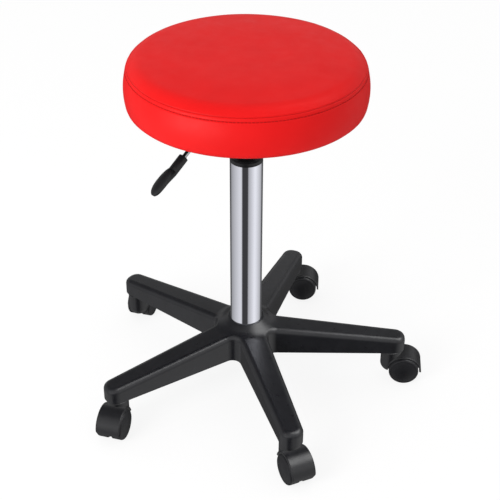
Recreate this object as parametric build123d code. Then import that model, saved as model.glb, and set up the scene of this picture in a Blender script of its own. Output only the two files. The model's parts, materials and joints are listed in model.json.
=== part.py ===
from build123d import *
import math
import os

# Rolling stool: a round upholstered seat on a gas lift, a five-arm base and twin-wheel casters.
# Millimetres, +Z up, origin on the floor under the column axis, first base arm along +X.

# Clearances
FIT_GAP = 0.05
SWIVEL_GAP = 0.3

# Casters
ARM_COUNT = 5
WHEEL_RADIUS = 24.3
WHEEL_FACE_OFFSET = 21.2
WHEEL_DOME = 3.4
WHEEL_EDGE_ROUND = 4.0
WHEEL_TREAD_WALL = 3.5
WHEEL_DISC_WALL = 3.2
WHEEL_HUB_RADIUS = 7.0
WHEEL_BORE_END = 18.9
AXLE_RADIUS = 3.0
AXLE_END_GAP = 0.4
CASTER_TRAIL = 21.5
HOUSING_HEIGHT = 57.9
HOUSING_WEB = 7.2
NECK_RADIUS = 17.0
NECK_BOTTOM_Z = 16.0
NECK_ROUND = 14.0
NECK_TOP_ROUND = 2.0
HOOD_GAP = 1.8
HOOD_WALL = 2.6
HOOD_HALF_WIDTH = 19.3
HOOD_EDGE_ROUND = 1.6
HOOD_CORNER_ROUND = 7.0
HOOD_DROOP = 6.0
AXLE_BOSS_RADIUS = 9.0
WHEEL_SIDE_GAP = 0.8
HUB_SIDE_GAP = 0.4
CASTER_HEADINGS = (-3.0, -2.0, 77.0, -104.0, -64.0)

# Caster stems
STEM_RADIUS = 5.5
STEM_LENGTH = 20.0
STEM_FLANGE_RADIUS = 8.0
STEM_FLANGE = 1.8
SPIGOT_RADIUS = 4.5
SPIGOT_LENGTH = 13.0
SPIGOT_BEAD = 0.4
SPIGOT_BEAD_HEIGHT = 2.0
SPIGOT_BEAD_FROM_END = 2.0
SPIGOT_END_GAP = 0.5
STEM_SIDE_GAP = 0.1
STEM_TOP_GAP = 0.5
RING_GROOVE = 0.9
RING_HEIGHT = 8.0
RING_FROM_TOP = 4.0
RING_SLIT = 2.0

# Five-arm base
STEM_CIRCLE_RADIUS = 240.0
ARM_OVERHANG = 20.0
ARM_TIP_WIDTH = 35.0
ARM_TIP_CORNER = 16.0
ARM_VALLEY_RADIUS = 40.0
ARM_VALLEY_ROUND = 14.0
ARM_TIP_HEIGHT = 25.5
ARM_ROOT_HEIGHT = 46.0
ARM_EDGE_ROUND = 9.0
HUB_HEIGHT = 58.0
HUB_COLLAR_WIDTH = 4.0
HUB_COLLAR_ROUND = 3.0
HUB_SLOPE_WIDTH = 16.0
HUB_SLOPE_ROUND = 30.0
BASE_WALL = 4.0
HUB_SLEEVE_WALL = 6.0
STEM_BOSS_WALL = 4.5
SPINE_RIB = 3.0
CROSS_RIB = 2.5
CROSS_RIB_COUNT = 4
RIB_RECESS = 5.0
LEVEL_LIMIT = 0.5

# Column tube of the gas lift
TUBE_RADIUS = 25.0
TUBE_WALL = 1.5
TUBE_LENGTH = 347.0
TUBE_DROP = 2.0
TAPER_NARROWING = 1.5
TUBE_PLATE = 4.0
COLLAR_HEIGHT = 8.0
COLLAR_CHAMFER = 2.0
BUSH_LENGTH = 95.0

# Gas spring
COLUMN_RADIUS = 14.0
COLUMN_WALL = 2.0
COLUMN_BOTTOM_GAP = 26.0
ROD_RADIUS = 5.0
ROD_TAIL = 8.0
CLIP_RADIUS = 8.5
CLIP_THICKNESS = 2.4
CLIP_GROOVE = 0.8
BEARING_RADIUS = 17.0
BEARING_WASHER = 2.0
BALL_RADIUS = 2.0
BALL_COUNT = 12
CAGE_THICKNESS = 1.6
CAGE_WALL = 1.4
ROD_FLANGE_RADIUS = 9.0
ROD_FLANGE = 2.0
BUMP_STOP_RADIUS = 13.0
BUMP_STOP_HEIGHT = 12.0
GUIDE_LENGTH = 20.0
SEAL_LENGTH = 8.0
PISTON_LENGTH = 14.0
PISTON_GAP = 4.0
VALVE_LENGTH = 24.0
VALVE_PIN_RADIUS = 3.0
VALVE_PIN_STANDOUT = 4.5
VALVE_PIN_LENGTH = 22.0
LIFT_UP = 176.0
REST_EXTENSION = 30.0

# Seat mechanism and release lever
SOCKET_LENGTH = 54.0
SOCKET_WALL = 6.0
CONE_LENGTH = 34.0
CONE_NARROWING = 0.8
PLATE_SIDE = 150.0
PLATE_CORNER = 14.0
PLATE_THICKNESS = 3.0
BOLT_SPACING = 110.0
GUSSET_COUNT = 4
GUSSET_REACH = 24.0
GUSSET_HEIGHT = 26.0
GUSSET_THICKNESS = 3.0
LEVER_HEADING = 229.0
LEVER_TRAVEL = 6.0
PIVOT_RADIUS = 28.0
PIVOT_PIN_RADIUS = 2.5
PIVOT_HEAD_RADIUS = 4.0
PIVOT_HEAD = 1.5
BARREL_RADIUS = 5.5
BARREL_WIDTH = 12.0
EAR_THICKNESS = 2.5
EAR_WIDTH = 14.0
EAR_DROP = 6.0
LEVER_ROD_RADIUS = 3.4
LEVER_BEND_RADIUS = 22.0
LEVER_BEND_AT = 90.0
LEVER_DROOP = 32.2
ROD_TO_GRIP = 45.0
ROD_IN_GRIP = 30.0
TONGUE_WIDTH = 11.0
TONGUE_THICKNESS = 5.0
TONGUE_TIP = 7.0
TONGUE_ROOT = 24.0
PIN_GAP = 0.3
SLOT_GAP = 1.0
GRIP_LENGTH = 70.5
GRIP_RADIUS = 7.1
GRIP_END_ROUND = 1.2
# Paddle of the grip, station by station: share of the length, then half width,
# half thickness and rise, each as a share of the grip radius
GRIP_STATIONS = ((0.36, 1.0, 1.0, 0.0), (0.52, 1.32, 0.82, 0.38), (0.68, 1.38, 0.62, 0.55),
                 (0.85, 1.27, 0.54, 0.50), (0.95, 0.92, 0.42, 0.38), (1.0, 0.42, 0.22, 0.30))

# Seat cushion
SEAT_RADIUS = 176.0
SIDE_HEIGHT = 60.5
SEAM_DRAW_IN = 5.5
HEM_DRAW_IN = 1.5
HEM_ROUND = 8.0
SHOULDER_ROUND = 26.0
SHOULDER_SLOPE = 57.0
CROWN_SLOPE = 4.0
CROWN_FLAT_RADIUS = 60.0
COVER_THICKNESS = 1.2
COVER_FOLD = 25.0
BOARD_THICKNESS = 12.0
DUST_COVER = 0.8
DUST_OVERLAP = 10.0
DUST_STEP = 3.5
FOLD_GAP = 0.5

# Fasteners of the seat
BOLT_RADIUS = 3.0
BOLT_HEAD_ACROSS = 10.0
BOLT_HEAD = 4.0
BOLT_HOLE_GAP = 0.4
WASHER_RADIUS = 6.5
WASHER = 1.6
T_NUT_RADIUS = 4.0
T_NUT_FLANGE_RADIUS = 9.0
T_NUT_FLANGE = 1.5
T_NUT_LENGTH = 9.0
STAPLE_COUNT = 20
STAPLE_WIDTH = 10.0
STAPLE_WIRE = 0.8
STAPLE_LEG = 8.0

# Heights that follow from the sizes above
BASE_BOTTOM_Z = HOUSING_HEIGHT + SWIVEL_GAP + STEM_FLANGE
HUB_TOP_Z = BASE_BOTTOM_Z + HUB_HEIGHT
TUBE_BOTTOM_Z = BASE_BOTTOM_Z - TUBE_DROP
TUBE_TOP_Z = TUBE_BOTTOM_Z + TUBE_LENGTH
COLLAR_TOP_Z = TUBE_TOP_Z + COLLAR_HEIGHT
SOCKET_BOTTOM_Z = COLLAR_TOP_Z + REST_EXTENSION
PLATE_BOTTOM_Z = SOCKET_BOTTOM_Z + SOCKET_LENGTH
PLATE_TOP_Z = PLATE_BOTTOM_Z + PLATE_THICKNESS
BOARD_BOTTOM_Z = PLATE_TOP_Z + DUST_COVER
BOARD_TOP_Z = BOARD_BOTTOM_Z + BOARD_THICKNESS
UNDERSIDE_Z = BOARD_BOTTOM_Z - COVER_THICKNESS
SEAM_Z = UNDERSIDE_Z + SIDE_HEIGHT
CONE_TOP_Z = SOCKET_BOTTOM_Z + CONE_LENGTH
LEVER_Z = CONE_TOP_Z + VALVE_PIN_STANDOUT + PIN_GAP + TONGUE_THICKNESS / 2
LOWER_WASHER_Z = TUBE_BOTTOM_Z + TUBE_PLATE
BALL_Z = LOWER_WASHER_Z + BEARING_WASHER + FIT_GAP + BALL_RADIUS
UPPER_WASHER_Z = BALL_Z + BALL_RADIUS + FIT_GAP
ROD_FLANGE_Z = UPPER_WASHER_Z + BEARING_WASHER
BUMP_STOP_Z = ROD_FLANGE_Z + ROD_FLANGE
COLUMN_BOTTOM_Z = BUMP_STOP_Z + BUMP_STOP_HEIGHT + COLUMN_BOTTOM_GAP
SEAL_Z = COLUMN_BOTTOM_Z + GUIDE_LENGTH
PISTON_Z = SEAL_Z + SEAL_LENGTH + LIFT_UP + PISTON_GAP

# Radii and widths that follow
WEB_HALF = HOUSING_WEB / 2
WHEEL_INNER = WEB_HALF + WHEEL_SIDE_GAP
HUB_INNER = WEB_HALF + HUB_SIDE_GAP
CLEARANCE_RADIUS = WHEEL_RADIUS + HOOD_GAP
HOOD_RADIUS = CLEARANCE_RADIUS + HOOD_WALL
STEM_BORE = STEM_RADIUS + STEM_SIDE_GAP
ARM_END_RADIUS = STEM_CIRCLE_RADIUS + ARM_OVERHANG
TUBE_BORE = TUBE_RADIUS - TUBE_WALL
COLUMN_BORE = COLUMN_RADIUS - COLUMN_WALL
ROD_BORE = ROD_RADIUS + FIT_GAP
SOCKET_RADIUS = COLUMN_RADIUS + SOCKET_WALL
BALL_CIRCLE = (ROD_RADIUS + BEARING_RADIUS) / 2 + FIT_GAP
BOARD_RADIUS = SEAT_RADIUS - HEM_DRAW_IN - HEM_ROUND - COVER_THICKNESS
FOLD_RADIUS = BOARD_RADIUS - COVER_FOLD
DUST_RADIUS = FOLD_RADIUS + DUST_OVERLAP
SEAM_RADIUS = SEAT_RADIUS - SEAM_DRAW_IN
ARM_STEP = 360.0 / ARM_COUNT

parts = {}


def turned(*points):
    """A solid of revolution about Z through (radius, height) points."""
    outline = Polyline(*points, close=True)
    return revolve(Plane.XZ * make_face(outline), Axis.Z)


def ring(outer, inner, bottom, height):
    """A plain ring or washer standing on a height."""
    return turned((inner, bottom), (outer, bottom), (outer, bottom + height), (inner, bottom + height))


def post(radius, bottom, height):
    """A plain cylinder standing on a height."""
    return Pos(0, 0, bottom) * Cylinder(radius, height, align=(Align.CENTER, Align.CENTER, Align.MIN))


def around(count, shape, first=0.0):
    """Copies of a shape, evenly spaced about Z."""
    return [Rot(0, 0, first + k * 360.0 / count) * shape for k in range(count)]


def group(solids):
    """Separate solids kept together in one node."""
    return Compound(children=list(solids))


def polar(radius, degrees):
    """A point on a circle about Z."""
    return radius * math.cos(math.radians(degrees)), radius * math.sin(math.radians(degrees))


# Five-arm base: a hollow moulding, open below, ribbed inside
def star_outline():
    points = []
    for k in range(ARM_COUNT):
        heading = k * ARM_STEP
        half = ARM_TIP_WIDTH / 2
        reach = math.hypot(ARM_END_RADIUS, half)
        lean = math.degrees(math.atan2(half, ARM_END_RADIUS))
        points.append(polar(reach, heading - lean))
        points.append(polar(reach, heading + lean))
        points.append(polar(ARM_VALLEY_RADIUS, heading + ARM_STEP / 2))
    face = make_face(Polyline(*points, close=True))
    corners = face.vertices()
    middle = (ARM_VALLEY_RADIUS + ARM_END_RADIUS) / 2
    tips = [v for v in corners if math.hypot(v.X, v.Y) > middle]
    face = fillet(tips, ARM_TIP_CORNER)
    valleys = [v for v in face.vertices() if math.hypot(v.X, v.Y) < ARM_VALLEY_RADIUS + FIT_GAP]
    return fillet(valleys, ARM_VALLEY_ROUND)


def star_heights(drop):
    """The turned body whose top is the hub and the sloping arm tops, lowered by a wall."""
    collar = TUBE_RADIUS + HUB_COLLAR_WIDTH
    foot = collar + HUB_SLOPE_WIDTH
    reach = ARM_END_RADIUS + ARM_TIP_WIDTH
    fall = (ARM_ROOT_HEIGHT - ARM_TIP_HEIGHT) / (ARM_END_RADIUS - foot)
    end_height = ARM_ROOT_HEIGHT - fall * (reach - foot)
    hub_top = HUB_TOP_Z - drop
    root = BASE_BOTTOM_Z + ARM_ROOT_HEIGHT - drop
    end = BASE_BOTTOM_Z + end_height - drop
    outline = Polyline((0, BASE_BOTTOM_Z - drop), (0, hub_top), (collar, hub_top), (foot, root),
                       (reach, end), (reach, BASE_BOTTOM_Z - drop), close=True)
    face = make_face(outline)
    lip = [v for v in face.vertices() if abs(v.X - collar) < FIT_GAP]
    face = fillet(lip, HUB_COLLAR_ROUND)
    dip = [v for v in face.vertices() if abs(v.X - foot) < FIT_GAP and abs(v.Y - root) < FIT_GAP]
    face = fillet(dip, HUB_SLOPE_ROUND)
    return revolve(Plane.XZ * face, Axis.Z)


def rounded_top(star, radius):
    """The star with the edges of its sloping top rounded."""
    rim = []
    for edge in star.edges():
        middle = edge.center()
        level = abs(edge.tangent_at(0.5).Z) < LEVEL_LIMIT
        above = edge.position_at(0.5).Z > BASE_BOTTOM_Z + ARM_TIP_HEIGHT / 2
        if level and above and math.hypot(middle.X, middle.Y) > ARM_VALLEY_RADIUS:
            rim.append(edge)
    return fillet(rim, radius)


def make_base():
    outline = star_outline()
    tall = Pos(0, 0, BASE_BOTTOM_Z) * extrude(outline, HUB_HEIGHT + HUB_HEIGHT)
    outer = rounded_top(tall & star_heights(0), ARM_EDGE_ROUND)
    inner = offset(outline, amount=-BASE_WALL)
    hollow = Pos(0, 0, BASE_BOTTOM_Z - BASE_WALL) * extrude(inner, HUB_HEIGHT + HUB_HEIGHT)
    shell = outer - rounded_top(hollow & star_heights(BASE_WALL), ARM_EDGE_ROUND - BASE_WALL)
    rib_height = HUB_HEIGHT - RIB_RECESS
    rib_z = BASE_BOTTOM_Z + RIB_RECESS + rib_height / 2
    ribs = post(TUBE_RADIUS + HUB_SLEEVE_WALL, BASE_BOTTOM_Z, HUB_HEIGHT)
    first_rib = ARM_VALLEY_RADIUS + ARM_VALLEY_ROUND
    rib_pitch = (STEM_CIRCLE_RADIUS - first_rib) / (CROSS_RIB_COUNT + 1)
    for k in range(ARM_COUNT):
        turn = Rot(0, 0, k * ARM_STEP)
        spine = Pos(STEM_CIRCLE_RADIUS / 2, 0, rib_z) * Box(STEM_CIRCLE_RADIUS, SPINE_RIB, rib_height)
        ribs += turn * spine
        boss = post(STEM_BORE + STEM_BOSS_WALL, BASE_BOTTOM_Z, HUB_HEIGHT)
        ribs += turn * Pos(STEM_CIRCLE_RADIUS, 0, 0) * boss
        for n in range(CROSS_RIB_COUNT):
            place = Pos(first_rib + n * rib_pitch, 0, rib_z)
            ribs += turn * place * Box(CROSS_RIB, 2 * ARM_VALLEY_RADIUS, rib_height)
    base = shell + (ribs & outer)
    margin = TUBE_WALL
    lean = TAPER_NARROWING / HUB_HEIGHT
    bore = TUBE_RADIUS + FIT_GAP
    below = BASE_BOTTOM_Z - margin
    over = HUB_TOP_Z + margin
    seat_bore = turned((0, below), (bore - lean * (HUB_HEIGHT + margin), below),
                       (bore + lean * margin, over), (0, over))
    base -= seat_bore
    stem_hole = post(STEM_BORE, below, margin + STEM_LENGTH + STEM_TOP_GAP)
    for hole in around(ARM_COUNT, Pos(STEM_CIRCLE_RADIUS, 0, 0) * stem_hole):
        base -= hole
    return base


# Caster stems, each held in its boss by a split grip ring
def make_stem():
    top = BASE_BOTTOM_Z + STEM_LENGTH
    ring_top = top - RING_FROM_TOP
    ring_bottom = ring_top - RING_HEIGHT
    groove = STEM_RADIUS - RING_GROOVE
    flange_bottom = BASE_BOTTOM_Z - STEM_FLANGE
    end = flange_bottom - SPIGOT_LENGTH
    bead_bottom = end + SPIGOT_BEAD_FROM_END
    bead = SPIGOT_RADIUS + SPIGOT_BEAD
    bead_top = bead_bottom + SPIGOT_BEAD_HEIGHT
    return turned((0, end), (SPIGOT_RADIUS, end), (SPIGOT_RADIUS, bead_bottom), (bead, bead_bottom),
                  (bead, bead_top), (SPIGOT_RADIUS, bead_top), (SPIGOT_RADIUS, flange_bottom),
                  (STEM_FLANGE_RADIUS, flange_bottom), (STEM_FLANGE_RADIUS, BASE_BOTTOM_Z),
                  (STEM_RADIUS, BASE_BOTTOM_Z), (STEM_RADIUS, ring_bottom), (groove, ring_bottom),
                  (groove, ring_top), (STEM_RADIUS, ring_top), (STEM_RADIUS, top), (0, top))


def make_grip_ring():
    bottom = BASE_BOTTOM_Z + STEM_LENGTH - RING_FROM_TOP - RING_HEIGHT
    inner = STEM_RADIUS - RING_GROOVE + FIT_GAP
    band = ring(STEM_BORE, inner, bottom + FIT_GAP, RING_HEIGHT - 2 * FIT_GAP)
    slit = Pos(STEM_BORE, 0, bottom + RING_HEIGHT / 2) * Box(2 * STEM_BORE, RING_SLIT, 2 * RING_HEIGHT)
    return band - slit


# Caster in its own frame: stem on the Z axis, wheels trailing along +X, axle along Y
def make_housing():
    drum = Cylinder(HOOD_RADIUS, 2 * HOOD_HALF_WIDTH)
    drum = Rot(90, 0, 0) * fillet(drum.edges().filter_by(GeomType.CIRCLE), HOOD_EDGE_ROUND)
    front = Pos(0, HOOD_RADIUS / 2) * Rectangle(2 * HOOD_HALF_WIDTH, HOOD_RADIUS)
    low_corners = [v for v in front.vertices() if v.Y < HOOD_RADIUS / 2]
    front = fillet(low_corners, HOOD_CORNER_ROUND)
    hood = drum & extrude(Plane.YZ * front, HOOD_RADIUS, both=True)
    at_axle = Pos(CASTER_TRAIL, 0, WHEEL_RADIUS)
    hood = at_axle * Rot(0, HOOD_DROOP, 0) * hood
    neck = post(NECK_RADIUS, NECK_BOTTOM_Z, HOUSING_HEIGHT - NECK_BOTTOM_Z)
    neck = fillet(neck.edges().group_by(Axis.Z)[0], NECK_ROUND)
    neck = fillet(neck.edges().group_by(Axis.Z)[-1], NECK_TOP_ROUND)
    body = hood + neck
    depth = HOOD_HALF_WIDTH + NECK_RADIUS
    well = post(CLEARANCE_RADIUS, WEB_HALF, depth)
    body -= at_axle * Rot(90, 0, 0) * well
    body -= at_axle * Rot(-90, 0, 0) * well
    body += at_axle * Rot(90, 0, 0) * Cylinder(AXLE_BOSS_RADIUS, HOUSING_WEB)
    body -= at_axle * Rot(90, 0, 0) * Cylinder(AXLE_RADIUS, 2 * HOUSING_WEB)
    flange_bottom = BASE_BOTTOM_Z - STEM_FLANGE
    end = flange_bottom - SPIGOT_LENGTH
    bead_bottom = end + SPIGOT_BEAD_FROM_END - SWIVEL_GAP
    bead_top = bead_bottom + SPIGOT_BEAD_HEIGHT + 2 * SWIVEL_GAP
    bore = SPIGOT_RADIUS + FIT_GAP
    recess = SPIGOT_RADIUS + SPIGOT_BEAD + FIT_GAP
    above = HOUSING_HEIGHT + SWIVEL_GAP
    body -= turned((0, end - SPIGOT_END_GAP), (bore, end - SPIGOT_END_GAP), (bore, bead_bottom),
                   (recess, bead_bottom), (recess, bead_top), (bore, bead_top), (bore, above), (0, above))
    return body


def make_axle():
    half = WHEEL_BORE_END - AXLE_END_GAP
    return Pos(CASTER_TRAIL, 0, WHEEL_RADIUS) * Rot(90, 0, 0) * Cylinder(AXLE_RADIUS, 2 * half)


def make_wheel(side):
    """One wheel: a domed disc with a tread rim, hollow towards the web."""
    bore = AXLE_RADIUS + FIT_GAP
    well_end = WHEEL_FACE_OFFSET - WHEEL_DISC_WALL
    tread_inner = WHEEL_RADIUS - WHEEL_TREAD_WALL
    edge = WHEEL_RADIUS - WHEEL_EDGE_ROUND
    straight_end = WHEEL_FACE_OFFSET - WHEEL_EDGE_ROUND
    crown = WHEEL_FACE_OFFSET + WHEEL_DOME
    bend = WHEEL_EDGE_ROUND * math.sqrt(0.5)
    lines = Polyline((0, crown), (0, WHEEL_BORE_END), (bore, WHEEL_BORE_END), (bore, HUB_INNER),
                     (WHEEL_HUB_RADIUS, HUB_INNER), (WHEEL_HUB_RADIUS, well_end), (tread_inner, well_end),
                     (tread_inner, WHEEL_INNER), (WHEEL_RADIUS, WHEEL_INNER), (WHEEL_RADIUS, straight_end))
    corner = ThreePointArc((WHEEL_RADIUS, straight_end), (edge + bend, straight_end + bend),
                           (edge, WHEEL_FACE_OFFSET))
    ball = (edge ** 2 + WHEEL_DOME ** 2) / (2 * WHEEL_DOME)
    half_angle = math.asin(edge / ball) / 2
    dome_middle = (ball * math.sin(half_angle), crown - ball + ball * math.cos(half_angle))
    dome = ThreePointArc((edge, WHEEL_FACE_OFFSET), dome_middle, (0, crown))
    wheel = revolve(Plane.XZ * make_face(lines + corner + dome), Axis.Z)
    return Pos(CASTER_TRAIL, 0, WHEEL_RADIUS) * Rot(-90 * side, 0, 0) * wheel


def make_casters():
    housing = make_housing()
    axle = make_axle()
    left = make_wheel(1)
    right = make_wheel(-1)
    for k in range(ARM_COUNT):
        x, y = polar(STEM_CIRCLE_RADIUS, k * ARM_STEP)
        place = Pos(x, y, 0) * Rot(0, 0, CASTER_HEADINGS[k])
        parts[f"caster_{k + 1}_housing"] = place * housing
        parts[f"caster_{k + 1}_axle"] = place * axle
        parts[f"caster_{k + 1}_wheel_left"] = place * left
        parts[f"caster_{k + 1}_wheel_right"] = place * right


# Column tube, tapered where it sits in the hub, with the fixed half of the gas lift
def make_column_fixed():
    low = TUBE_RADIUS - TAPER_NARROWING * (HUB_TOP_Z - TUBE_BOTTOM_Z) / HUB_HEIGHT
    parts["cylinder_tube"] = turned((low, TUBE_BOTTOM_Z), (TUBE_RADIUS, HUB_TOP_Z),
                                    (TUBE_RADIUS, TUBE_TOP_Z), (TUBE_BORE, TUBE_TOP_Z),
                                    (TUBE_BORE, HUB_TOP_Z), (low - TUBE_WALL, TUBE_BOTTOM_Z))
    rise = TAPER_NARROWING / HUB_HEIGHT * TUBE_PLATE
    plate_low = low - TUBE_WALL - FIT_GAP
    parts["tube_bottom_plate"] = turned((ROD_BORE, TUBE_BOTTOM_Z), (plate_low, TUBE_BOTTOM_Z),
                                        (plate_low + rise, LOWER_WASHER_Z), (ROD_BORE, LOWER_WASHER_Z))
    bush_bottom = TUBE_TOP_Z - BUSH_LENGTH
    parts["guide_bush"] = ring(TUBE_BORE - FIT_GAP, COLUMN_RADIUS + FIT_GAP, bush_bottom, BUSH_LENGTH)
    parts["top_collar"] = turned((COLUMN_RADIUS + SWIVEL_GAP, TUBE_TOP_Z), (TUBE_RADIUS, TUBE_TOP_Z),
                                 (TUBE_RADIUS, COLLAR_TOP_Z - COLLAR_CHAMFER),
                                 (TUBE_RADIUS - COLLAR_CHAMFER, COLLAR_TOP_Z),
                                 (COLUMN_RADIUS + SWIVEL_GAP, COLLAR_TOP_Z))
    parts["lower_bearing_washer"] = ring(BEARING_RADIUS, ROD_BORE, LOWER_WASHER_Z, BEARING_WASHER)
    cage_bottom = BALL_Z - CAGE_THICKNESS / 2
    cage = ring(BEARING_RADIUS - CAGE_WALL, ROD_RADIUS + CAGE_WALL, cage_bottom, CAGE_THICKNESS)
    ball = Pos(BALL_CIRCLE, 0, BALL_Z) * Sphere(BALL_RADIUS)
    pocket = Pos(BALL_CIRCLE, 0, BALL_Z) * Cylinder(BALL_RADIUS + FIT_GAP, 2 * CAGE_THICKNESS)
    for hole in around(BALL_COUNT, pocket):
        cage -= hole
    parts["bearing_cage"] = cage
    parts["bearing_balls"] = group(around(BALL_COUNT, ball))


# Piston rod and what turns with it on the thrust bearing
def make_spindle():
    clip_top = TUBE_BOTTOM_Z - SWIVEL_GAP
    clip_bottom = clip_top - CLIP_THICKNESS
    groove = ROD_RADIUS - CLIP_GROOVE
    rod_end = TUBE_BOTTOM_Z - ROD_TAIL
    parts["piston_rod"] = turned((0, rod_end), (ROD_RADIUS, rod_end), (ROD_RADIUS, clip_bottom),
                                 (groove, clip_bottom), (groove, clip_top), (ROD_RADIUS, clip_top),
                                 (ROD_RADIUS, ROD_FLANGE_Z), (ROD_FLANGE_RADIUS, ROD_FLANGE_Z),
                                 (ROD_FLANGE_RADIUS, BUMP_STOP_Z), (ROD_RADIUS, BUMP_STOP_Z),
                                 (ROD_RADIUS, PISTON_Z + PISTON_LENGTH), (0, PISTON_Z + PISTON_LENGTH))
    parts["piston_head"] = ring(COLUMN_BORE - FIT_GAP, ROD_RADIUS, PISTON_Z, PISTON_LENGTH)
    clip = ring(CLIP_RADIUS, groove, clip_bottom, CLIP_THICKNESS)
    mouth = Pos(CLIP_RADIUS, 0, clip_bottom) * Box(2 * CLIP_RADIUS, 2 * groove, 4 * CLIP_THICKNESS)
    parts["retaining_clip"] = clip - mouth
    parts["upper_bearing_washer"] = ring(BEARING_RADIUS, ROD_RADIUS, UPPER_WASHER_Z, BEARING_WASHER)
    parts["bump_stop"] = ring(BUMP_STOP_RADIUS, ROD_RADIUS, BUMP_STOP_Z, BUMP_STOP_HEIGHT)


# Pressure tube with its coned top, and what is sealed inside it
def make_pressure_tube():
    cone_top = COLUMN_RADIUS - CONE_NARROWING
    parts["pressure_tube"] = turned((COLUMN_BORE, COLUMN_BOTTOM_Z), (COLUMN_RADIUS, COLUMN_BOTTOM_Z),
                                    (COLUMN_RADIUS, SOCKET_BOTTOM_Z), (cone_top, CONE_TOP_Z),
                                    (COLUMN_BORE, CONE_TOP_Z))
    bore = COLUMN_BORE - FIT_GAP
    parts["rod_guide"] = ring(bore, ROD_BORE, COLUMN_BOTTOM_Z, GUIDE_LENGTH)
    parts["rod_seal"] = ring(bore, ROD_BORE, SEAL_Z, SEAL_LENGTH)
    parts["valve_body"] = ring(bore, VALVE_PIN_RADIUS + FIT_GAP, CONE_TOP_Z - VALVE_LENGTH, VALVE_LENGTH)
    pin_top = CONE_TOP_Z + VALVE_PIN_STANDOUT
    shoulder = pin_top - VALVE_PIN_RADIUS
    shank = post(VALVE_PIN_RADIUS, pin_top - VALVE_PIN_LENGTH, VALVE_PIN_LENGTH - VALVE_PIN_RADIUS)
    parts["valve_pin"] = shank + Pos(0, 0, shoulder) * Sphere(VALVE_PIN_RADIUS)


# Seat mechanism, in a frame whose +X is the lever's heading
def on_lever(shape):
    return Rot(0, 0, LEVER_HEADING) * shape


def bolt_places():
    half = BOLT_SPACING / 2
    return [Pos(x, y, 0) for x in (-half, half) for y in (-half, half)]


def make_mechanism():
    blank = RectangleRounded(PLATE_SIDE, PLATE_SIDE, PLATE_CORNER)
    plate = Pos(0, 0, PLATE_BOTTOM_Z) * extrude(blank, PLATE_THICKNESS)
    hole = post(BOLT_RADIUS + BOLT_HOLE_GAP, PLATE_BOTTOM_Z - PLATE_THICKNESS, 3 * PLATE_THICKNESS)
    for place in bolt_places():
        plate -= place * hole
    parts["seat_plate"] = on_lever(plate)

    wide = COLUMN_RADIUS + FIT_GAP
    narrow = wide - CONE_NARROWING
    socket = turned((wide, SOCKET_BOTTOM_Z), (SOCKET_RADIUS, SOCKET_BOTTOM_Z),
                    (SOCKET_RADIUS, PLATE_BOTTOM_Z), (narrow, PLATE_BOTTOM_Z), (narrow, CONE_TOP_Z))
    sweep_down = (PIVOT_RADIUS - narrow) * math.tan(math.radians(LEVER_TRAVEL))
    slot_bottom = LEVER_Z - TONGUE_THICKNESS / 2 - sweep_down - SLOT_GAP
    slot_top = LEVER_Z + TONGUE_THICKNESS / 2 + PIN_GAP
    slot = Box(SOCKET_RADIUS, TONGUE_WIDTH + 2 * SLOT_GAP, slot_top - slot_bottom)
    socket -= Pos(SOCKET_RADIUS / 2 + narrow / 2, 0, (slot_top + slot_bottom) / 2) * slot
    parts["taper_socket"] = on_lever(socket)

    gusset = make_face(Polyline((SOCKET_RADIUS + FIT_GAP, PLATE_BOTTOM_Z),
                                (SOCKET_RADIUS + GUSSET_REACH, PLATE_BOTTOM_Z),
                                (SOCKET_RADIUS + FIT_GAP, PLATE_BOTTOM_Z - GUSSET_HEIGHT), close=True))
    fin = Pos(0, GUSSET_THICKNESS / 2, 0) * extrude(Plane.XZ * gusset, GUSSET_THICKNESS)
    parts["socket_gussets"] = group(around(GUSSET_COUNT, fin, LEVER_HEADING + 180.0 / GUSSET_COUNT))

    ear_inner = BARREL_WIDTH / 2 + SWIVEL_GAP
    ear_height = PLATE_BOTTOM_Z - LEVER_Z + EAR_DROP
    ear_z = LEVER_Z - EAR_DROP + ear_height / 2
    bridge_z = PLATE_BOTTOM_Z - EAR_THICKNESS / 2
    bracket = Pos(PIVOT_RADIUS, 0, bridge_z) * Box(EAR_WIDTH, 2 * ear_inner, EAR_THICKNESS)
    for side in (-1, 1):
        place = Pos(PIVOT_RADIUS, side * (ear_inner + EAR_THICKNESS / 2), ear_z)
        bracket += place * Box(EAR_WIDTH, EAR_THICKNESS, ear_height)
    pivot = Pos(PIVOT_RADIUS, 0, LEVER_Z) * Rot(90, 0, 0)
    bracket -= pivot * Cylinder(PIVOT_PIN_RADIUS, 4 * BARREL_WIDTH)
    parts["lever_bracket"] = on_lever(bracket)
    span = 2 * (ear_inner + EAR_THICKNESS)
    pin = Cylinder(PIVOT_PIN_RADIUS, span)
    for side in (-1, 1):
        pin += Pos(0, 0, side * (span + PIVOT_HEAD) / 2) * Cylinder(PIVOT_HEAD_RADIUS, PIVOT_HEAD)
    parts["lever_pin"] = on_lever(pivot * pin)


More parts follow.
